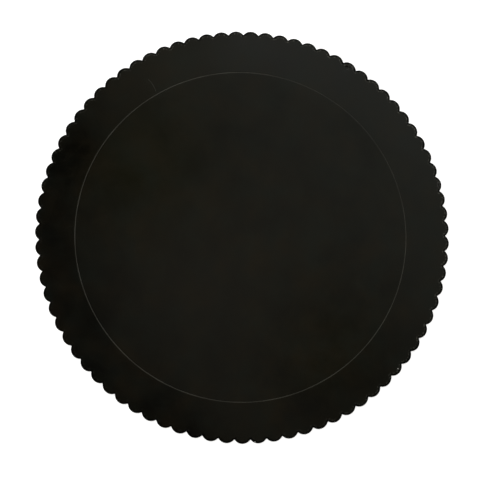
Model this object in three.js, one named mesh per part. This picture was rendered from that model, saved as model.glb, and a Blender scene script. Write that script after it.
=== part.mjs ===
// Round cake board of black laminated cardboard: a pressed disc with a scalloped, die-cut edge
// and a creased ring that marks where the cake stands.
// Millimetres, +Z up. The origin is the centre of the underside, and one lobe's tip lies on +X.
import * as THREE from 'three';
import { toCreasedNormals } from 'three/addons/utils/BufferGeometryUtils.js';

// Board blank
const tipDiameter = 300; // across the tips of two opposite lobes
const boardThickness = 3; // at the level middle, inside the ring
const rimDrop = 0.8; // how far the pressed rim falls over the width from the ring to a tip

// Die-cut scalloped edge
const lobeCount = 82;
const lobeDepth = 3.2; // from a tip down to the sharp meeting point of two lobes
const notchRadius = 0.4; // the cutting rule's own radius, which rounds that meeting point
const edgeRoll = 0.5; // radius of the top edge, drawn down by the cutting rule

// Creased ring: the middle of the press form, struck a little off the centre of the cut edge
const ringDiameter = 239.0;
const ringOffsetX = -2.5;
const ringOffsetY = -1.9;
const creaseWidth = 1.2;
const creaseDepth = 0.08;

// Smoothness
const lobeSteps = 6; // chords along one lobe
const notchSteps = 2; // chords along one rounded notch
const rollSteps = 2; // bands round the rolled top edge
const creaseSteps = 4; // bands across the crease
const ringSteps = 2 * lobeCount; // chords round the ring

const filmColor = 0x171714;

// The lobe is the arc through its tip and the two sharp meeting points beside it.
const halfPitch = Math.PI / lobeCount;
const tipRadius = tipDiameter / 2;
const ringRadius = ringDiameter / 2;
const meetingRadius = tipRadius - lobeDepth;
const lobeCentre =
  (tipRadius ** 2 - meetingRadius ** 2) / (2 * (tipRadius - meetingRadius * Math.cos(halfPitch)));
const lobeRadius = tipRadius - lobeCentre;

// The notch arc touches both lobes from outside, with its centre on the line between them.
const notchCentre =
  lobeCentre * Math.cos(halfPitch) +
  Math.sqrt((lobeRadius + notchRadius) ** 2 - (lobeCentre * Math.sin(halfPitch)) ** 2);
const lobeHalfAngle = Math.atan2(
  notchCentre * Math.sin(halfPitch),
  notchCentre * Math.cos(halfPitch) - lobeCentre,
);
const notchHalfAngle = lobeHalfAngle - halfPitch;

// Points along an arc whose centre lies `distance` out along `axis`, from `start` to `end`
// measured from that axis.
function arcPoints(distance, axis, radius, start, end, steps) {
  const arc = new THREE.EllipseCurve(
    distance * Math.cos(axis),
    distance * Math.sin(axis),
    radius,
    radius,
    axis + start,
    axis + end,
    end < start,
  );
  return arc.getPoints(steps);
}

// The scalloped outline, set in from the cut edge by `inset`: lobes shrink as notches grow.
function scallopedOutline(inset) {
  const points = [];
  for (let lobe = 0; lobe < lobeCount; lobe++) {
    const axis = 2 * halfPitch * lobe;
    const turn = Math.PI + notchHalfAngle;
    const back = Math.PI - notchHalfAngle;
    const lobeRound = lobeRadius - inset;
    const notchRound = notchRadius + inset;
    points.push(
      ...arcPoints(lobeCentre, axis, lobeRound, -lobeHalfAngle, lobeHalfAngle, lobeSteps),
      ...arcPoints(notchCentre, axis + halfPitch, notchRound, turn, back, notchSteps).slice(1, -1),
    );
  }
  return points;
}

function ringCircle(radius) {
  const circle = new THREE.EllipseCurve(ringOffsetX, ringOffsetY, radius, radius);
  return circle.getPoints(ringSteps).slice(0, -1);
}

// Height of the pressed face: level out to the ring, then a shallow cone about the ring's centre.
function faceHeight(point) {
  const out = Math.hypot(point.x - ringOffsetX, point.y - ringOffsetY);
  const share = Math.max(0, (out - ringRadius) / (tipRadius - ringRadius));
  return boardThickness - rimDrop * share;
}

// An outline carried up to a depth below the face.
function underFace(outline, depth) {
  return outline.map((p) => new THREE.Vector3(p.x, p.y, faceHeight(p) - depth));
}

// The upright cut wall, then a quarter round in to the rim.
function edgeLoops() {
  const loops = [scallopedOutline(0).map((p) => new THREE.Vector3(p.x, p.y, 0))];
  for (let i = 0; i <= rollSteps; i++) {
    const turn = (Math.PI / 2) * (i / rollSteps);
    const outline = scallopedOutline(edgeRoll * (1 - Math.cos(turn)));
    loops.push(underFace(outline, edgeRoll * (1 - Math.sin(turn))));
  }
  return loops;
}

// The crease in section, from its outer lip to its inner lip: a soft cosine-squared trough.
function creaseLoops() {
  const loops = [];
  for (let i = 0; i <= creaseSteps; i++) {
    const across = 1 - (2 * i) / creaseSteps;
    const outline = ringCircle(ringRadius + (across * creaseWidth) / 2);
    loops.push(underFace(outline, creaseDepth * Math.cos((across * Math.PI) / 2) ** 2));
  }
  return loops;
}

// Joins two loops, which may differ in their number of points, by a band of triangles. The next
// triangle always steps along the loop that has got less far round.
function bandIndices(startA, countA, startB, countB) {
  const indices = [];
  let a = 0;
  let b = 0;
  while (a < countA || b < countB) {
    const cornerA = startA + (a % countA);
    const cornerB = startB + (b % countB);
    if ((a + 1) * countB <= (b + 1) * countA) {
      a++;
      indices.push(cornerA, startA + (a % countA), cornerB);
    } else {
      b++;
      indices.push(cornerA, startB + (b % countB), cornerB);
    }
  }
  return indices;
}

// Lofts a closed skin through loops given from the bottom outwards and over the top, and caps the
// first and the last.
function loftGeometry(loops) {
  const starts = [];
  const points = [];
  loops.forEach((loop) => {
    starts.push(points.length);
    points.push(...loop);
  });

  const indices = [];
  for (let n = 1; n < loops.length; n++) {
    const before = loops[n - 1].length;
    indices.push(...bandIndices(starts[n - 1], before, starts[n], loops[n].length));
  }

  const last = loops.length - 1;
  THREE.ShapeUtils.triangulateShape(loops[0], []).forEach(([i, j, k]) => {
    indices.push(i, k, j);
  });
  THREE.ShapeUtils.triangulateShape(loops[last], []).forEach((corners) => {
    indices.push(...corners.map((corner) => starts[last] + corner));
  });

  const geometry = new THREE.BufferGeometry().setFromPoints(points);
  geometry.setIndex(indices);
  return geometry;
}

function cakeBoard() {
  const geometry = loftGeometry([...edgeLoops(), ...creaseLoops()]);
  const film = new THREE.MeshStandardMaterial({
    color: filmColor,
    roughness: 0.2,
    metalness: 0,
  });
  const board = new THREE.Mesh(toCreasedNormals(geometry, Math.PI / 6), film);
  board.name = 'cake_board';
  return board;
}

const part = new THREE.Group();
part.add(cakeBoard());

export default part;
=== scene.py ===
"""Cake board of black laminated card, with a scalloped cut edge and a creased ring.

Metres, +Z up. The board lies on z = 0 with the middle of its scalloped edge on the origin.
"""

import math

import bpy
import numpy as np
from bpy.props import FloatProperty, FloatVectorProperty, IntProperty, PointerProperty
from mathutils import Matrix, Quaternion, Vector


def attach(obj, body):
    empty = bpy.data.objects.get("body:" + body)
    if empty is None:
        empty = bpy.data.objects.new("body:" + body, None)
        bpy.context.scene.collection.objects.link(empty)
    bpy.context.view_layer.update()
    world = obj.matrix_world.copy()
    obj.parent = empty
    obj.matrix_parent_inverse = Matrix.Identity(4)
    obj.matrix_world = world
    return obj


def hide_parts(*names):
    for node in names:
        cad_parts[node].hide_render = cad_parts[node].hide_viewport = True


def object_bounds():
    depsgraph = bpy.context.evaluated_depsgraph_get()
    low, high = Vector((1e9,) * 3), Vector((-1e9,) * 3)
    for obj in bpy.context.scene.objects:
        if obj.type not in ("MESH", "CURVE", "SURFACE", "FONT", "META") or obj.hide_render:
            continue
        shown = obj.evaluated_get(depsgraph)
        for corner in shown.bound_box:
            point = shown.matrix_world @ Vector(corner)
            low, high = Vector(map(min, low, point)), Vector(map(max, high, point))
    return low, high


bl_info = {
    "name": "Cake Board",
    "version": (1, 0, 0),
    "blender": (4, 5, 0),
    "location": "View3D > Sidebar > Cake Board",
    "description": "Makes a scalloped cake board of laminated card and a plain studio round it",
    "category": "Add Mesh",
}

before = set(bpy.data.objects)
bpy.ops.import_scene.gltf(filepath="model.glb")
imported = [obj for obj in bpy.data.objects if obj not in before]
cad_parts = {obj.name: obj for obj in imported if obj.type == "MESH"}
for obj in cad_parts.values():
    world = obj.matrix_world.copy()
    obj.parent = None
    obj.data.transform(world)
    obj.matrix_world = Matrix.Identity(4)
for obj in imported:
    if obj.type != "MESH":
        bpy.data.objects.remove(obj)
CAD_LOW, CAD_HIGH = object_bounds()
NODE = "cake_board"

# Sections of the board's skin, in the order of its material slots
FILM, CUT_EDGE, BASE = range(3)

# Rows and columns of the skin's grid
COLUMNS_PER_LOBE = 22
BASE_INSETS = (0.012, 0.0008)
FOOT_ROUNDING, FOOT_ROWS = 0.00012, 4
WALL_SHARES = (0.3, 0.6, 0.85)
ROLL_ROWS = 7
DIP_ROWS, DIP_END = 7, 0.0025
RIM_SHARES = (0.05, 0.12, 0.25, 0.45, 0.65, 0.85)
CREASE_ROWS, CREASE_REACH = 15, 0.9
MIDDLE_SHARES = (0.96, 0.85, 0.65, 0.4, 0.15)

# Spread of the crease's bell curve over the crease's width
CREASE_SPREAD = 0.3

# Inset that is noted on rows well clear of the edge
CLEAR_INSET = 0.01

# Knocked lobes: x, y, reach and depth of each dent
DENTS = (
    (0.0784, 0.1234, 0.0014, 0.00014),
    (0.0768, 0.1222, 0.0009, 0.00008),
    (0.1443, 0.0333, 0.0012, 0.00012),
)

# Crushed spots in the film: x, y and reach
CRUSHED = (
    (0.0776, 0.1231, 0.0013),
    (0.0793, 0.1219, 0.0010),
    (0.0809, 0.1228, 0.0012),
    (0.1437, 0.0322, 0.0009),
    (0.1439, 0.0343, 0.0008),
)
CRUSH_DEPTH = 0.00032
# Pale lip round each crushed spot, a painted highlight on the dent's rim: its radius as a share of
# the reach, its width, its strength
CRUSH_LIP_SHARE, CRUSH_LIP_WIDTH, CRUSH_LIP_GLINT = 1.3, 0.0004, 0.4

# Hairline scratches in the film: both ends, how far the line bows, half its width, how pale it is
SCRATCHES = (
    ((-0.0707, 0.1118), (-0.0652, 0.1025), 0.0007, 0.00035, 0.18),
    ((-0.0430, 0.1313), (-0.0429, 0.1236), 0.0001, 0.00030, 0.12),
    ((0.1446, 0.0314), (0.1448, 0.0355), 0.0001, 0.00045, 0.32),
)

# Pale chips in the film at the rim: x, y, half width
CHIPS = ((0.1069, -0.1011, 0.0006), (0.0031, -0.1487, 0.0005))

# A reach that takes in the whole board
EVERYWHERE = 1

# Wear along the crease fades, and the painted highlights inside the edge grow towards the lit
# side, along this way over the board
WEAR_AND_GLINT_WAY = (0.71, 0.7, 0)

# Worn line along the crease: half its width over the crease's, its least and most wear, and the
# stretch of WEAR_AND_GLINT_WAY over which it fades to a share
LINE_WIDTH = 0.4
LINE_WEAR = (0.24, 0.42)
LINE_FADE, LINE_FADED = (0.08, 0.108), 0.5

# Painted highlights just inside the edge: pale specks that stand for the light caught by the
# film's lip. Insets where they start and end, and their strength over a stretch of the way above,
# growing towards the lit side
GLINT_START, GLINT_END = (0.0011, 0.0016), (0.0020, 0.0028)
GLINT_STRETCH, GLINT_STRENGTH = (-0.10, 0.12), (0.08, 0.55)

# Relief of the film, as scale, detail and roughness of a noise and its height: the slow swell of
# the board, the film's fine pits, and the fibres that show through
FILM_RELIEF = (
    (22, 1, 0.5, 0.00016),
    (900, 2, 0.5, 0.0000035),
    (260, 4, 0.6, 0.000012),
)

# Haze over the film's colour, and the two tints that its blotches lie between
FILM_HAZE = (0.1, 2.0)
WARM_TINT, COOL_TINT = (1.3, 0.95, 0.6), (0.7, 1.05, 1.25)

# How much rougher than its set value the film gets with haze, and with wear
HAZE_ROUGHNESS, WEAR_ROUGHNESS = (-0.03, 0.05), 0.25

# Wear that the hairline scuffs of handling bring
SCUFF_WEAR = 0.04

# Ragged lower margin of the film on the cut edge
FILM_RAGGEDNESS = 0.0003
FILM_MARGIN = (-0.0001, 0.00002)

# Flecks of fibre in the bare card
CUT_FLECK, BASE_FLECK = (0.5, 0.46, 0.4), (0.16, 0.14, 0.11)

# Studio: half the floor's width, its clearance under the board, how far out it turns white, and
# the lamps' size and places
FLOOR_REACH = 6.0
FLOOR_GAP = 0.00003
FLOOR_WHITENS = (0.5, 2.5)
LAMP_SIZE = 2.0
KEY_PLACE, FILL_PLACE = (-0.4, 1.6, 3.0), (-1.4, -0.3, 3.0)

# The dim ceiling that the film reflects. A place on it is the horizontal part of a direction over
# its vertical part, which is held above a least height.
LEAST_HEIGHT = 0.05
SHADED_CEILING, OPEN_CEILING = (0.055, 0.052, 0.04), (0.13, 0.123, 0.094)
SHADE_WAY, SHADE_STRETCH = (0.9, 0.43, 0), (-0.26, -0.07)

# Light from the window side: the way to it, and where each step starts, is full, and its colour
WINDOW_WAY = (0.707, 0.707, 0)
WINDOW_STEPS = (
    (0.12, 0.38, (0.155, 0.165, 0.145)),
    (0.45, 0.61, (0.17, 0.18, 0.18)),
)

# Soft patches on the ceiling: place, reach, and the light that each adds or takes away
CEILING_PATCHES = (
    ((0.02, 0.05), 0.34, (0.16, 0.147, 0.117)),
    ((0.085, 0.55), 0.10, (0.36, 0.36, 0.36)),
    ((0.22, 0.52), 0.16, (0.13, 0.135, 0.15)),
    ((-0.12, 0.47), 0.24, (0.105, 0.092, 0.055)),
    ((-0.11, 0.24), 0.16, (0.01, 0.015, -0.05)),
    ((-0.29, 0.29), 0.10, (-0.18, -0.18, -0.15)),
    ((0.24, -0.12), 0.14, (-0.02, -0.03, -0.07)),
    ((0.05, -0.25), 0.12, (0.12, 0.108, 0.082)),
    ((-0.05, -0.34), 0.13, (-0.12, -0.118, -0.09)),
)

# The dark outer part of the ceiling, about its middle, and the height at which it gives way to the
# white walls
CEILING_MIDDLE, CORNER_STRETCH = (0.078, 0.12, 0), (0.54, 0.66)
CORNER_COLOR, WALL_COLOR = (0.012, 0.012, 0.01), (1.0, 1.0, 1.0)
WALL_STRETCH = (0.12, 0.62)


class CakeBoardShape(bpy.types.PropertyGroup):
    """Sizes of the board"""

    tip_width: FloatProperty(
        name="Width",
        description="Across the tips of two opposite lobes",
        default=CAD_HIGH.x - CAD_LOW.x,
        unit="LENGTH",
    )
    thickness: FloatProperty(
        name="Thickness",
        description="Of the level middle",
        default=CAD_HIGH.z - CAD_LOW.z,
        unit="LENGTH",
    )
    rim_drop: FloatProperty(
        name="Rim Drop",
        description="How far the face falls over the width from the ring to a lobe's tip",
        default=0.0008,
        unit="LENGTH",
    )
    lobe_count: IntProperty(
        name="Lobes", description="Number of lobes round the edge", default=82, min=3
    )
    lobe_depth: FloatProperty(
        name="Lobe Depth",
        description="From a lobe's tip to the sharp meeting point of two lobes",
        default=0.003,
        unit="LENGTH",
    )
    notch_radius: FloatProperty(
        name="Notch Radius",
        description="Rounding where two lobes meet",
        default=0.0004,
        unit="LENGTH",
    )
    edge_roll: FloatProperty(
        name="Edge Roll",
        description="Radius of the film's turn over the top of the cut edge",
        default=0.00022,
        unit="LENGTH",
    )
    dip_width: FloatProperty(
        name="Dip Width",
        description="Width of the band along the edge that the cut has drawn down",
        default=0.002,
        unit="LENGTH",
    )
    dip_depth: FloatProperty(
        name="Dip Depth",
        description="How far the cut has drawn the film down at the edge",
        default=0.0003,
        unit="LENGTH",
    )
    ring_width: FloatProperty(
        name="Ring Diameter",
        description="Diameter of the creased ring",
        default=0.239,
        unit="LENGTH",
    )
    ring_shift: FloatVectorProperty(
        name="Ring Shift",
        description="The ring's centre, measured from the middle of the cut edge",
        default=(-0.0025, -0.0019),
        size=2,
        unit="LENGTH",
    )
    crease_width: FloatProperty(
        name="Crease Width",
        description="Width of the crease from lip to lip",
        default=0.0012,
        unit="LENGTH",
    )
    crease_depth: FloatProperty(
        name="Crease Depth",
        description="Depth of the crease",
        default=0.00005,
        unit="LENGTH",
    )


class CakeBoardFinish(bpy.types.PropertyGroup):
    """Colours and surfaces of the board"""

    film_color: FloatVectorProperty(
        name="Film",
        description="Colour of the black film",
        default=(0.0016, 0.0015, 0.0009),
        subtype="COLOR",
        size=3,
        min=0,
        max=1,
    )
    film_gloss: FloatProperty(
        name="Film Roughness",
        description="Roughness of the film where it is clean",
        default=0.18,
        min=0,
        max=1,
        subtype="FACTOR",
    )
    # Also the colour of the painted highlights: the pale specks inside the edge and the lips round
    # crushed spots
    wear_and_glint_color: FloatVectorProperty(
        name="Worn Film",
        description="Colour of the film where it is scratched or stretched",
        default=(0.1, 0.097, 0.08),
        subtype="COLOR",
        size=3,
        min=0,
        max=1,
    )
    chip_color: FloatVectorProperty(
        name="Chipped Film",
        description="Colour where a speck of film is gone",
        default=(0.6, 0.58, 0.54),
        subtype="COLOR",
        size=3,
        min=0,
        max=1,
    )
    card_color: FloatVectorProperty(
        name="Card",
        description="Colour of the pressed card at the cut edge",
        default=(0.235, 0.205, 0.165),
        subtype="COLOR",
        size=3,
        min=0,
        max=1,
    )
    base_color: FloatVectorProperty(
        name="Base",
        description="Colour of the uncoated underside",
        default=(0.36, 0.33, 0.28),
        subtype="COLOR",
        size=3,
        min=0,
        max=1,
    )


class CakeBoardStudio(bpy.types.PropertyGroup):
    """Floor, light and camera"""

    floor_color: FloatVectorProperty(
        name="Floor",
        description="Colour of the floor",
        default=(0.85, 0.85, 0.85),
        subtype="COLOR",
        size=3,
        min=0,
        max=1,
    )
    floor_lift: FloatProperty(
        name="Floor Lift",
        description="White that the floor shows near the board on top of its own colour",
        default=0.5,
        min=0,
        max=1,
    )
    key_power: FloatProperty(
        name="Key Light", description="Power of the main lamp", default=49.0, unit="POWER"
    )
    fill_power: FloatProperty(
        name="Fill Light", description="Power of the second lamp", default=36.0, unit="POWER"
    )
    aim: FloatVectorProperty(
        name="Aim",
        description="Point on the face that the camera looks at",
        default=(-0.00507, -0.00726, 0.0017),
        size=3,
        unit="LENGTH",
    )
    distance: FloatProperty(
        name="Distance",
        description="From the camera to the point it looks at",
        default=0.4028,
        unit="LENGTH",
    )
    azimuth: FloatProperty(
        name="Azimuth",
        description="Direction of the camera round the board, 0 looking along +Y",
        default=math.radians(-33.034),
        unit="ROTATION",
    )
    elevation: FloatProperty(
        name="Elevation",
        description="Height of the camera above the horizon",
        default=math.radians(83.1205),
        unit="ROTATION",
    )
    roll: FloatProperty(
        name="Roll",
        description="Turn of the camera about its own line of sight",
        default=math.radians(32.307),
        unit="ROTATION",
    )
    lens: FloatProperty(
        name="Lens",
        description="Focal length in millimetres, for a 36 mm sensor",
        default=41.86,
    )


# Shape of the board


def circle_through(start, end, bow):
    """Centre and radius of the circle through two points whose arc bows out by `bow` to the left
    of the way from the first to the second: the radius is (h^2 + bow^2) / (2 bow), with h half the
    distance between them.
    """
    start, end = np.array(start), np.array(end)
    along = end - start
    half = np.linalg.norm(along) / 2
    radius = (half**2 + bow**2) / (2 * bow)
    left = np.array([-along[1], along[0]]) / (2 * half)
    return tuple((start + end) / 2 + left * (bow - radius)), radius


def edge_radius(shape, angle, inset):
    """Distance from the middle to the scalloped edge, set in by `inset`, along each angle.

    Across a lobe it is the far crossing with the lobe's circle, c cos a + sqrt(p^2 - (c sin a)^2),
    and across a notch the near crossing with the notch's, n cos b - sqrt(q^2 - (n sin b)^2), with
    a and b measured from the lobe's axis and from the notch's. The circles touch between them.
    """
    half = math.pi / shape.lobe_count
    tip = shape.tip_width / 2
    meeting = tip - shape.lobe_depth
    c = (tip**2 - meeting**2) / (2 * (tip - meeting * math.cos(half)))
    reach = tip - c + shape.notch_radius
    n = c * math.cos(half) + math.sqrt(reach**2 - (c * math.sin(half)) ** 2)
    p = tip - c - inset
    q = shape.notch_radius + inset
    share = p / (p + q)
    touch = np.arctan2(share * n * math.sin(half), c + share * (n * math.cos(half) - c))
    a = np.abs((angle + half) % (2 * half) - half)
    b = half - a
    lobe = c * np.cos(a) + np.sqrt(np.maximum(p**2 - (c * np.sin(a)) ** 2, 0))
    notch = n * np.cos(b) - np.sqrt(np.maximum(q**2 - (n * np.sin(b)) ** 2, 0))
    return np.where(a < touch, lobe, notch)


def column_angles(shape):
    """Angles of the grid's columns.

    Within a lobe they follow u (3 - u^2) / 2 for u from -1 to 1, so they crowd into the notches.
    """
    u = np.arange(COLUMNS_PER_LOBE) / COLUMNS_PER_LOBE * 2 - 1
    lobes = np.arange(shape.lobe_count)
    turns = 2 * lobes[:, None] + (u * (3 - u**2) / 2)[None, :]
    return (turns * math.pi / shape.lobe_count).ravel()


def face_height(shape, xy):
    """Height of the face over the base.

    It is level out to the ring and a shallow cone about the ring's centre from there on, with the
    crease pressed in as a bell curve across the ring, and each dent as a bell curve round its
    middle.
    """
    x, y = xy[:, 0], xy[:, 1]
    ring = shape.ring_width / 2
    out = np.hypot(x - shape.ring_shift[0], y - shape.ring_shift[1])
    slope = np.maximum(out - ring, 0) / (shape.tip_width / 2 - ring)
    crease = np.exp(-(((out - ring) / (CREASE_SPREAD * shape.crease_width)) ** 2))
    height = shape.thickness - shape.rim_drop * slope - shape.crease_depth * crease
    for dent_x, dent_y, reach, depth in DENTS:
        height = height - depth * np.exp(-((x - dent_x) ** 2 + (y - dent_y) ** 2) / reach**2)
    return height


def rim_height(shape, xy, inset):
    """Height of the face at an inset from the edge: the drawn-down band lowers face_height by
    depth (1 - inset / width)^2.
    """
    dip = shape.dip_depth * (1 - min(inset / shape.dip_width, 1)) ** 2
    return face_height(shape, xy) - dip


def polar(radius, angle, centre=(0, 0)):
    """Points at `radius` and `angle` about `centre`, as an array of x and y."""
    return np.stack(
        [centre[0] + radius * np.cos(angle), centre[1] + radius * np.sin(angle)], axis=-1
    )


def skin_rows(shape, angle):
    """The skin as rows of points, each with the section that starts there and its inset.

    The rows run out along the base, round its foot and up the cut edge, over the rolled film, in
    across the rim and the crease, and over the level middle. Their heights are those of
    face_height and rim_height, less what the quarter circle of the roll takes away.
    """
    roll = shape.edge_roll
    rows = []

    def add(section, xy, z, inset=CLEAR_INSET):
        rows.append((section, np.column_stack([xy, np.broadcast_to(z, angle.shape)]), inset))

    def outline(inset):
        return polar(edge_radius(shape, angle, inset), angle)

    for inset in BASE_INSETS:
        add(BASE, polar(edge_radius(shape, angle, 0) - inset, angle), 0)
    for turn in np.linspace(0, math.pi / 2, FOOT_ROWS):
        section = BASE if turn < math.pi / 4 else CUT_EDGE
        foot = outline(FOOT_ROUNDING * (1 - math.sin(turn)))
        add(section, foot, FOOT_ROUNDING * (1 - math.cos(turn)))

    wall = outline(0)
    wall_top = rim_height(shape, wall, 0) - roll
    for share in WALL_SHARES:
        add(CUT_EDGE, wall, FOOT_ROUNDING + share * (wall_top - FOOT_ROUNDING))

    for turn in np.linspace(0, math.pi / 2, ROLL_ROWS):
        inset = roll * (1 - math.cos(turn))
        lip = outline(inset)
        add(FILM, lip, rim_height(shape, lip, inset) - roll * (1 - math.sin(turn)), inset)
    for inset in np.linspace(roll, DIP_END, DIP_ROWS)[1:]:
        rim = outline(inset)
        add(FILM, rim, rim_height(shape, rim, inset), inset)

    ring, reach = shape.ring_width / 2, CREASE_REACH * shape.crease_width
    crease = [ring + across * reach for across in np.linspace(1, -1, CREASE_ROWS)]
    circles = [
        polar(radius, angle, shape.ring_shift)
        for radius in crease + [ring * share for share in MIDDLE_SHARES]
    ]
    across_rim = [rim + share * (circles[0] - rim) for share in RIM_SHARES]
    for xy in across_rim + circles:
        add(FILM, xy, face_height(shape, xy))
    return rows


def closed_mesh(name, rows, base_middle, face_middle):
    """A mesh through rows of points that go once round, closed by a point at each end.

    Each band of four-sided faces, and each fan, takes the material slot of the row it starts at.
    The rows' distances from the cut edge are kept on the points as "inset".
    """
    points = np.stack([xyz for _, xyz, _ in rows])
    count, columns = points.shape[:2]
    here = np.arange(columns)
    after = np.roll(here, -1)
    start = (np.arange(count - 1) * columns)[:, None]
    quads = np.stack(
        [start + here, start + after, start + columns + after, start + columns + here], axis=-1
    ).reshape(-1, 4)
    first, last = count * columns, count * columns + 1
    end = (count - 1) * columns
    fans = np.concatenate(
        [
            np.stack([np.full(columns, first), after, here], axis=-1),
            np.stack([end + here, end + after, np.full(columns, last)], axis=-1),
        ]
    )
    vertices = np.concatenate([points.reshape(-1, 3), [base_middle, face_middle]])
    mesh = bpy.data.meshes.new(name)
    mesh.from_pydata(vertices.tolist(), [], quads.tolist() + fans.tolist())
    insets = np.array([inset for _, _, inset in rows] + [CLEAR_INSET])
    inset = mesh.attributes.new("inset", "FLOAT", "POINT")
    inset.data.foreach_set(
        "value", np.repeat(insets, [columns] * count + [2]).astype(np.float32)
    )
    sections = np.array([section for section, _, _ in rows])
    slots = np.concatenate(
        [np.repeat(sections[:-1], columns), np.full(columns, BASE), np.full(columns, FILM)]
    )
    mesh.polygons.foreach_set("material_index", slots.astype(np.int32))
    mesh.polygons.foreach_set("use_smooth", np.ones(len(slots), dtype=bool))
    mesh.validate()
    mesh.update()
    return mesh


# Materials

FLOAT, VECTOR = "NodeSocketFloat", "NodeSocketVector"

# Vector Math operations that give a number
NUMBER_RESULTS = {"DISTANCE", "DOT_PRODUCT", "LENGTH"}


def add_node(tree, kind, settings=None, **sockets):
    """Adds a node, sets its properties, and sets or links its inputs by name."""
    made = tree.nodes.new(kind)
    for key, value in (settings or {}).items():
        setattr(made, key, value)
    for key, value in sockets.items():
        plug(tree, made.inputs[key.replace("_", " ")], value)
    return made


def plug(tree, socket, value):
    """Links another node's output to a socket, or sets the socket's own value."""
    if isinstance(value, bpy.types.NodeSocket):
        tree.links.new(value, socket)
    else:
        socket.default_value = value


def maths(tree, operation, *values):
    """A Math node's result."""
    made = tree.nodes.new("ShaderNodeMath")
    made.operation = operation
    for socket, value in zip(made.inputs, values):
        plug(tree, socket, value)
    return made.outputs[0]


def product(tree, first, *others):
    """Values multiplied in turn."""
    for other in others:
        first = maths(tree, "MULTIPLY", first, other)
    return first


def vector_maths(tree, operation, *values):
    """A Vector Math node's result, a number or a vector."""
    made = tree.nodes.new("ShaderNodeVectorMath")
    made.operation = operation
    for socket, value in zip(made.inputs, values):
        plug(tree, socket, value)
    return made.outputs["Value" if operation in NUMBER_RESULTS else "Vector"]


def scaled(tree, vector, factor):
    """A vector or a colour times a number."""
    made = add_node(
        tree, "ShaderNodeVectorMath", {"operation": "SCALE"}, Vector=vector, Scale=factor
    )
    return made.outputs["Vector"]


def noise(tree, vector, scale, detail=2.0, roughness=0.5):
    """A Noise Texture's value, its features 1 / scale of a metre apart."""
    made = add_node(
        tree, "ShaderNodeTexNoise", Vector=vector, Scale=scale, Detail=detail, Roughness=roughness
    )
    return made.outputs["Fac"]


def remap(tree, value, low, high, to_low=0.0, to_high=1.0, smooth=False):
    """A value's range low to high carried to another range, and held at its ends."""
    made = add_node(
        tree,
        "ShaderNodeMapRange",
        {"interpolation_type": "SMOOTHSTEP" if smooth else "LINEAR"},
        Value=value,
        From_Min=low,
        From_Max=high,
        To_Min=to_low,
        To_Max=to_high,
    )
    return made.outputs["Result"]


def blend_colors(tree, share, first, second):
    """Two colours mixed by a share of the second."""
    made = add_node(tree, "ShaderNodeMix", {"data_type": "RGBA"}, Factor=share)
    # A Mix node's colour sockets come after those for numbers and for vectors
    for socket, value in ((made.inputs[6], first), (made.inputs[7], second)):
        plug(tree, socket, value if isinstance(value, bpy.types.NodeSocket) else (*value, 1))
    return made.outputs[2]


def times(color, *gains):
    """A colour with its channels times one gain each, or all times the same one."""
    return tuple(np.multiply(color, gains))


def new_group(name, inputs, outputs):
    """A shader node group with named sockets; returns its tree and its two end nodes."""
    tree = bpy.data.node_groups.new(name, "ShaderNodeTree")
    for label, kind, default in inputs:
        socket = tree.interface.new_socket(label, in_out="INPUT", socket_type=kind)
        if default is not None:
            socket.default_value = default
    for label, kind in outputs:
        tree.interface.new_socket(label, in_out="OUTPUT", socket_type=kind)
    return tree, tree.nodes.new("NodeGroupInput"), tree.nodes.new("NodeGroupOutput")


def film_surface_group():
    """Film over card: its relief, the hairline scuffs of handling, a slow haze and blotches."""
    tree, given, out = new_group(
        "Film surface",
        [("Vector", VECTOR, None)],
        [("Height", FLOAT), ("Scuff", FLOAT), ("Haze", FLOAT), ("Blotch", FLOAT)],
    )
    at = given.outputs["Vector"]
    height = 0
    for scale, detail, roughness, rise in FILM_RELIEF:
        relief = product(tree, noise(tree, at, scale, detail, roughness), rise)
        height = maths(tree, "ADD", height, relief)
    streak = add_node(
        tree, "ShaderNodeMapping", Vector=at, Rotation=(0, 0, 0.6), Scale=(1, 14, 1)
    ).outputs["Vector"]
    hairs = remap(tree, noise(tree, streak, scale=160, detail=3, roughness=0.7), 0.66, 0.74)
    patches = remap(tree, noise(tree, at, scale=35), 0.5, 0.7)
    elsewhere = vector_maths(tree, "ADD", at, (0.3, 0.1, 0))
    plug(tree, out.inputs["Height"], height)
    plug(tree, out.inputs["Scuff"], product(tree, hairs, patches))
    plug(tree, out.inputs["Haze"], noise(tree, at, scale=30, detail=4, roughness=0.65))
    plug(tree, out.inputs["Blotch"], noise(tree, elsewhere, scale=45, detail=3, roughness=0.6))
    return tree


def arc_mark_group():
    """A hairline along an arc: near enough to a circle's line, and within reach of its middle."""
    tree, given, out = new_group(
        "Arc mark",
        [
            ("Vector", VECTOR, None),
            ("Centre", VECTOR, None),
            ("Radius", FLOAT, 0.1),
            ("Width", FLOAT, 0.0004),
            ("Middle", VECTOR, None),
            ("Reach", FLOAT, 1.0),
        ],
        [("Mask", FLOAT)],
    )
    flat = vector_maths(tree, "MULTIPLY", given.outputs["Vector"], (1, 1, 0))
    out_of_centre = vector_maths(tree, "DISTANCE", flat, given.outputs["Centre"])
    beside = maths(tree, "SUBTRACT", out_of_centre, given.outputs["Radius"])
    off_line = maths(tree, "ABSOLUTE", beside)
    line = remap(tree, off_line, 0, given.outputs["Width"], 1, 0, smooth=True)
    from_middle = vector_maths(tree, "DISTANCE", flat, given.outputs["Middle"])
    inside = maths(tree, "LESS_THAN", from_middle, given.outputs["Reach"])
    plug(tree, out.inputs["Mask"], product(tree, line, inside))
    return tree


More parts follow.
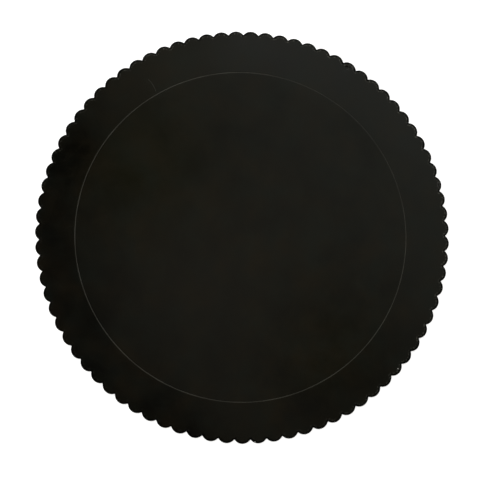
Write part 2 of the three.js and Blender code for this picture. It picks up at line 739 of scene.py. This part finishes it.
def pulp_group():
    """Bare card: soft mottling, flecks of fibre, and a felted relief."""
    tree, given, out = new_group(
        "Pulp",
        [("Vector", VECTOR, None), ("Fleck Size", FLOAT, 900.0)],
        [("Mottle", FLOAT), ("Flecks", FLOAT), ("Height", FLOAT)],
    )
    at, size = given.outputs["Vector"], given.outputs["Fleck Size"]
    flecks = remap(tree, noise(tree, at, size), 0.6, 0.72)
    felt = noise(tree, at, product(tree, size, 2.0), detail=4, roughness=0.7)
    plug(tree, out.inputs["Mottle"], noise(tree, at, scale=90, detail=4, roughness=0.6))
    plug(tree, out.inputs["Flecks"], flecks)
    plug(tree, out.inputs["Height"], felt)
    return tree


def use_group(tree, group, **sockets):
    """Places a group in a material, with its own values."""
    return add_node(tree, "ShaderNodeGroup", {"node_tree": group}, **sockets).outputs


def new_material(name):
    """An empty material: its tree, its Principled shader and the place on the object."""
    material = bpy.data.materials.new(name)
    material.use_nodes = True
    tree = material.node_tree
    tree.nodes.clear()
    shader = tree.nodes.new("ShaderNodeBsdfPrincipled")
    out = tree.nodes.new("ShaderNodeOutputMaterial")
    tree.links.new(shader.outputs["BSDF"], out.inputs["Surface"])
    at = tree.nodes.new("ShaderNodeTexCoord").outputs["Object"]
    return material, tree, shader, at


def bump(tree, height, distance):
    """A Bump node's normal from a height in units of `distance` metres."""
    return add_node(tree, "ShaderNodeBump", Height=height, Distance=distance).outputs["Normal"]


def black_film(shape, finish, film_surface, arc_mark):
    """Satin black film: pale wear along the crease and by scratches, painted highlights as pale
    specks inside the edge and round crushed spots, and crushed and chipped in places.
    """
    material, tree, shader, at = new_material("Black film")
    surface = use_group(tree, film_surface, Vector=at)

    def arc(centre, radius, width, middle, reach):
        line = use_group(
            tree,
            arc_mark,
            Vector=at,
            Centre=(*centre, 0),
            Radius=radius,
            Width=width,
            Middle=(*middle, 0),
            Reach=reach,
        )
        return line["Mask"]

    def circle(centre, radius, width):
        return arc(centre, radius, width, centre, EVERYWHERE)

    glint_and_wear_side = vector_maths(tree, "DOT_PRODUCT", at, WEAR_AND_GLINT_WAY)
    stretched = circle(shape.ring_shift, shape.ring_width / 2, LINE_WIDTH * shape.crease_width)
    uneven = remap(tree, noise(tree, at, scale=60), 0.3, 0.7, *LINE_WEAR)
    fading = remap(tree, glint_and_wear_side, *LINE_FADE, 1, LINE_FADED, smooth=True)
    wear_and_glint = product(tree, stretched, uneven, fading)
    for start, end, bow, width, paleness in SCRATCHES:
        centre, radius = circle_through(start, end, bow)
        middle = (np.array(start) + end) / 2
        scratch = arc(centre, radius, width, middle, math.dist(start, end) / 2)
        wear_and_glint = maths(tree, "MAXIMUM", wear_and_glint, product(tree, scratch, paleness))

    # Painted highlights: pale specks in a band just inside the edge, standing for the light that
    # the film's lip catches
    inset = add_node(tree, "ShaderNodeAttribute", {"attribute_name": "inset"}).outputs["Fac"]
    painted_glint_band = product(
        tree,
        remap(tree, inset, *GLINT_START, smooth=True),
        remap(tree, inset, *GLINT_END, 1, 0, smooth=True),
    )
    broken = remap(tree, noise(tree, at, scale=850, roughness=0.6), 0.5, 0.62)
    # The painted highlights are stronger towards the lit side
    paleness = remap(tree, glint_and_wear_side, *GLINT_STRETCH, *GLINT_STRENGTH)
    wear_and_glint = maths(tree, "MAXIMUM", wear_and_glint, product(tree, painted_glint_band, broken, paleness))

    pits = 0
    for x, y, reach in CRUSHED:
        pits = maths(tree, "ADD", pits, circle((x, y), 0, reach))
        # Painted highlight: a pale broken ring on each crushed spot's rim
        lip = circle((x, y), CRUSH_LIP_SHARE * reach, CRUSH_LIP_WIDTH)
        wear_and_glint = maths(tree, "MAXIMUM", wear_and_glint, product(tree, lip, broken, CRUSH_LIP_GLINT))
    wear_and_glint = maths(tree, "MAXIMUM", wear_and_glint, product(tree, surface["Scuff"], SCUFF_WEAR))

    blotched = blend_colors(
        tree,
        remap(tree, surface["Blotch"], 0.37, 0.63),
        times(finish.film_color, *WARM_TINT),
        times(finish.film_color, *COOL_TINT),
    )
    hazy = scaled(tree, blotched, remap(tree, surface["Haze"], 0.35, 0.65, *FILM_HAZE))
    # Pale wear and the painted highlights both blend to this one colour
    color = blend_colors(tree, wear_and_glint, hazy, finish.wear_and_glint_color)
    for x, y, width in CHIPS:
        color = blend_colors(tree, circle((x, y), 0, width), color, finish.chip_color)
    plug(tree, shader.inputs["Base Color"], color)

    least, most = (finish.film_gloss + change for change in HAZE_ROUGHNESS)
    clean = remap(tree, surface["Haze"], 0.3, 0.7, least, most)
    roughness = maths(tree, "ADD", clean, product(tree, wear_and_glint, WEAR_ROUGHNESS))
    plug(tree, shader.inputs["Roughness"], roughness)
    height = maths(tree, "SUBTRACT", surface["Height"], product(tree, pits, CRUSH_DEPTH))
    plug(tree, shader.inputs["Normal"], bump(tree, height, 1.0))
    return material


def cut_card(shape, finish, pulp):
    """The die-cut edge: pressed plies seen end on, with the film's black lip along the top."""
    material, tree, shader, at = new_material("Cut card")
    card = use_group(tree, pulp, Vector=at, Fleck_Size=1400.0)
    lying = add_node(tree, "ShaderNodeMapping", Vector=at, Scale=(0.12, 0.12, 1))
    plies = noise(tree, lying.outputs["Vector"], scale=2600, detail=3, roughness=0.6)
    color = blend_colors(
        tree,
        remap(tree, plies, 0.35, 0.65),
        times(finish.card_color, 0.72),
        times(finish.card_color, 1.15),
    )
    color = blend_colors(tree, product(tree, card["Flecks"], 0.5), color, CUT_FLECK)
    height = add_node(tree, "ShaderNodeSeparateXYZ", Vector=at).outputs["Z"]
    margin = shape.thickness - shape.rim_drop - shape.edge_roll
    ragged = maths(tree, "ADD", height, product(tree, card["Mottle"], FILM_RAGGEDNESS))
    low, high = (margin + change for change in FILM_MARGIN)
    lapped = remap(tree, ragged, low, high, smooth=True)
    color = blend_colors(tree, lapped, color, finish.film_color)
    plug(tree, shader.inputs["Base Color"], color)
    shader.inputs["Roughness"].default_value = 0.9
    shader.inputs["Specular IOR Level"].default_value = 0.25
    relief = maths(tree, "ADD", card["Height"], product(tree, plies, 1.5))
    plug(tree, shader.inputs["Normal"], bump(tree, relief, 0.00012))
    return material


def bare_base(finish, pulp):
    """The uncoated underside: mottled liner with flecks of fibre."""
    material, tree, shader, at = new_material("Bare base")
    liner = use_group(tree, pulp, Vector=at)
    color = blend_colors(
        tree,
        remap(tree, liner["Mottle"], 0.3, 0.7),
        times(finish.base_color, 0.88),
        times(finish.base_color, 1.1),
    )
    color = blend_colors(tree, product(tree, liner["Flecks"], 0.45), color, BASE_FLECK)
    plug(tree, shader.inputs["Base Color"], color)
    shader.inputs["Roughness"].default_value = 0.85
    shader.inputs["Specular IOR Level"].default_value = 0.3
    plug(tree, shader.inputs["Normal"], bump(tree, liner["Height"], 0.00005))
    return material


class CAKEBOARD_OT_board(bpy.types.Operator):
    """Makes the board, with its film, cut edge and base"""

    bl_idname = "cakeboard.board"
    bl_label = "Make Board"
    bl_options = {"REGISTER", "UNDO"}

    def execute(self, context):
        shape = context.scene.cake_board_shape
        finish = context.scene.cake_board_finish
        rows = skin_rows(shape, column_angles(shape))
        face_middle = (*shape.ring_shift, shape.thickness)
        mesh = closed_mesh("cake_board_card", rows, (0, 0, 0), face_middle)
        pulp = pulp_group()
        mesh.materials.append(black_film(shape, finish, film_surface_group(), arc_mark_group()))
        mesh.materials.append(cut_card(shape, finish, pulp))
        mesh.materials.append(bare_base(finish, pulp))
        board = bpy.data.objects.new("cake_board_card", mesh)
        context.scene.collection.objects.link(board)
        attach(board, "root")
        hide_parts(NODE)
        return {"FINISHED"}


# Studio


def white_floor(studio):
    """Matt floor, lifted to white where the camera or a reflection sees it, and fully far out."""
    material, tree, shader, at = new_material("White floor")
    shader.inputs["Base Color"].default_value = (*studio.floor_color, 1)
    shader.inputs["Roughness"].default_value = 1
    shader.inputs["Specular IOR Level"].default_value = 0
    shader.inputs["Emission Color"].default_value = (1, 1, 1, 1)
    ray = tree.nodes.new("ShaderNodeLightPath").outputs
    seen = maths(tree, "MAXIMUM", ray["Is Camera Ray"], ray["Is Glossy Ray"])
    seen = maths(tree, "MAXIMUM", seen, ray["Is Transmission Ray"])
    far = remap(tree, vector_maths(tree, "LENGTH", at), *FLOOR_WHITENS, studio.floor_lift, 1)
    plug(tree, shader.inputs["Emission Strength"], product(tree, seen, far))
    return material


def add_light(tree, color, share, light):
    """A colour with a share of some light added to it, and never below black."""
    whole = vector_maths(tree, "ADD", color, scaled(tree, light, share))
    return vector_maths(tree, "MAXIMUM", whole, (0, 0, 0))


def room_light():
    """A white room under a dim, warm ceiling, which has soft patches of light and dark corners."""
    world = bpy.data.worlds.new("White room")
    world.use_nodes = True
    tree = world.node_tree
    tree.nodes.clear()
    way = tree.nodes.new("ShaderNodeTexCoord").outputs["Generated"]
    up = add_node(tree, "ShaderNodeSeparateXYZ", Vector=way).outputs["Z"]
    flat = vector_maths(tree, "MULTIPLY", way, (1, 1, 0))
    nearness = maths(tree, "DIVIDE", 1, maths(tree, "MAXIMUM", up, LEAST_HEIGHT))
    place = scaled(tree, flat, nearness)

    out_of_shade = vector_maths(tree, "DOT_PRODUCT", place, SHADE_WAY)
    shade = remap(tree, out_of_shade, *SHADE_STRETCH, smooth=True)
    ceiling = blend_colors(tree, shade, SHADED_CEILING, OPEN_CEILING)
    to_window = vector_maths(tree, "DOT_PRODUCT", place, WINDOW_WAY)
    for start, full, light in WINDOW_STEPS:
        share = remap(tree, to_window, start, full, smooth=True)
        ceiling = add_light(tree, ceiling, share, light)
    for middle, reach, light in CEILING_PATCHES:
        off = vector_maths(tree, "DISTANCE", place, (*middle, 0))
        ceiling = add_light(tree, ceiling, remap(tree, off, 0, reach, 1, 0, smooth=True), light)
    off = vector_maths(tree, "DISTANCE", place, CEILING_MIDDLE)
    corners = remap(tree, off, *CORNER_STRETCH, smooth=True)
    ceiling = blend_colors(tree, corners, ceiling, CORNER_COLOR)

    overhead = remap(tree, up, *WALL_STRETCH, smooth=True)
    color = blend_colors(tree, overhead, WALL_COLOR, ceiling)
    background = add_node(tree, "ShaderNodeBackground", Color=color)
    out = tree.nodes.new("ShaderNodeOutputWorld")
    tree.links.new(background.outputs["Background"], out.inputs["Surface"])
    return world


def area_lamp(scene, name, power, place):
    """A square soft lamp at `place`, facing the board, which doesn't show in its film."""
    light = bpy.data.lights.new(name, "AREA")
    light.energy = power
    light.size = LAMP_SIZE
    lamp = bpy.data.objects.new(name, light)
    lamp.location = place
    lamp.rotation_mode = "QUATERNION"
    lamp.rotation_quaternion = (-Vector(place)).to_track_quat("-Z", "Y")
    lamp.visible_glossy = False
    scene.collection.objects.link(lamp)


def add_camera(scene, studio):
    """The camera on a sphere about its aim, turned about its own line of sight."""
    az, el = studio.azimuth, studio.elevation
    back = Vector((math.sin(az) * math.cos(el), -math.cos(az) * math.cos(el), math.sin(el)))
    lens = bpy.data.cameras.new("camera")
    lens.lens = studio.lens
    lens.sensor_width = 36
    lens.clip_start = 0.01
    camera = bpy.data.objects.new("camera", lens)
    camera.location = Vector(studio.aim) + back * studio.distance
    camera.rotation_mode = "QUATERNION"
    facing = (-back).to_track_quat("-Z", "Y")
    camera.rotation_quaternion = facing @ Quaternion((0, 0, 1), studio.roll)
    scene.collection.objects.link(camera)
    scene.camera = camera


class CAKEBOARD_OT_studio(bpy.types.Operator):
    """Makes the floor, the light and the camera"""

    bl_idname = "cakeboard.studio"
    bl_label = "Make Studio"
    bl_options = {"REGISTER", "UNDO"}

    def execute(self, context):
        scene = context.scene
        studio = scene.cake_board_studio
        corners = np.array([[-1, -1, 0], [1, -1, 0], [1, 1, 0], [-1, 1, 0]]) * FLOOR_REACH
        mesh = bpy.data.meshes.new("studio_floor")
        mesh.from_pydata((corners - [0, 0, FLOOR_GAP]).tolist(), [], [(0, 1, 2, 3)])
        mesh.materials.append(white_floor(studio))
        floor = bpy.data.objects.new("studio_floor", mesh)
        scene.collection.objects.link(floor)

        scene.world = room_light()
        area_lamp(scene, "key_lamp", studio.key_power, KEY_PLACE)
        area_lamp(scene, "fill_lamp", studio.fill_power, FILL_PLACE)
        add_camera(scene, studio)
        scene.view_settings.view_transform = "Standard"
        return {"FINISHED"}


class CAKEBOARD_PT_panel(bpy.types.Panel):
    """Sizes, colours and steps of the cake board"""

    bl_idname = "CAKEBOARD_PT_panel"
    bl_label = "Cake Board"
    bl_space_type = "VIEW_3D"
    bl_region_type = "UI"
    bl_category = "Cake Board"

    def draw(self, context):
        for group in ("cake_board_shape", "cake_board_finish", "cake_board_studio"):
            settings = getattr(context.scene, group)
            box = self.layout.box()
            for name in settings.bl_rna.properties.keys():
                if name not in {"rna_type", "name"}:
                    box.prop(settings, name)
        self.layout.operator(CAKEBOARD_OT_board.bl_idname)
        self.layout.operator(CAKEBOARD_OT_studio.bl_idname)


CLASSES = (
    CakeBoardShape,
    CakeBoardFinish,
    CakeBoardStudio,
    CAKEBOARD_OT_board,
    CAKEBOARD_OT_studio,
    CAKEBOARD_PT_panel,
)


def register():
    for cls in CLASSES:
        bpy.utils.register_class(cls)
    bpy.types.Scene.cake_board_shape = PointerProperty(type=CakeBoardShape)
    bpy.types.Scene.cake_board_finish = PointerProperty(type=CakeBoardFinish)
    bpy.types.Scene.cake_board_studio = PointerProperty(type=CakeBoardStudio)


def unregister():
    del bpy.types.Scene.cake_board_studio
    del bpy.types.Scene.cake_board_finish
    del bpy.types.Scene.cake_board_shape
    for cls in reversed(CLASSES):
        bpy.utils.unregister_class(cls)


def main():
    register()
    bpy.ops.cakeboard.board()
    bpy.ops.cakeboard.studio()


if __name__ == "__main__":
    main()
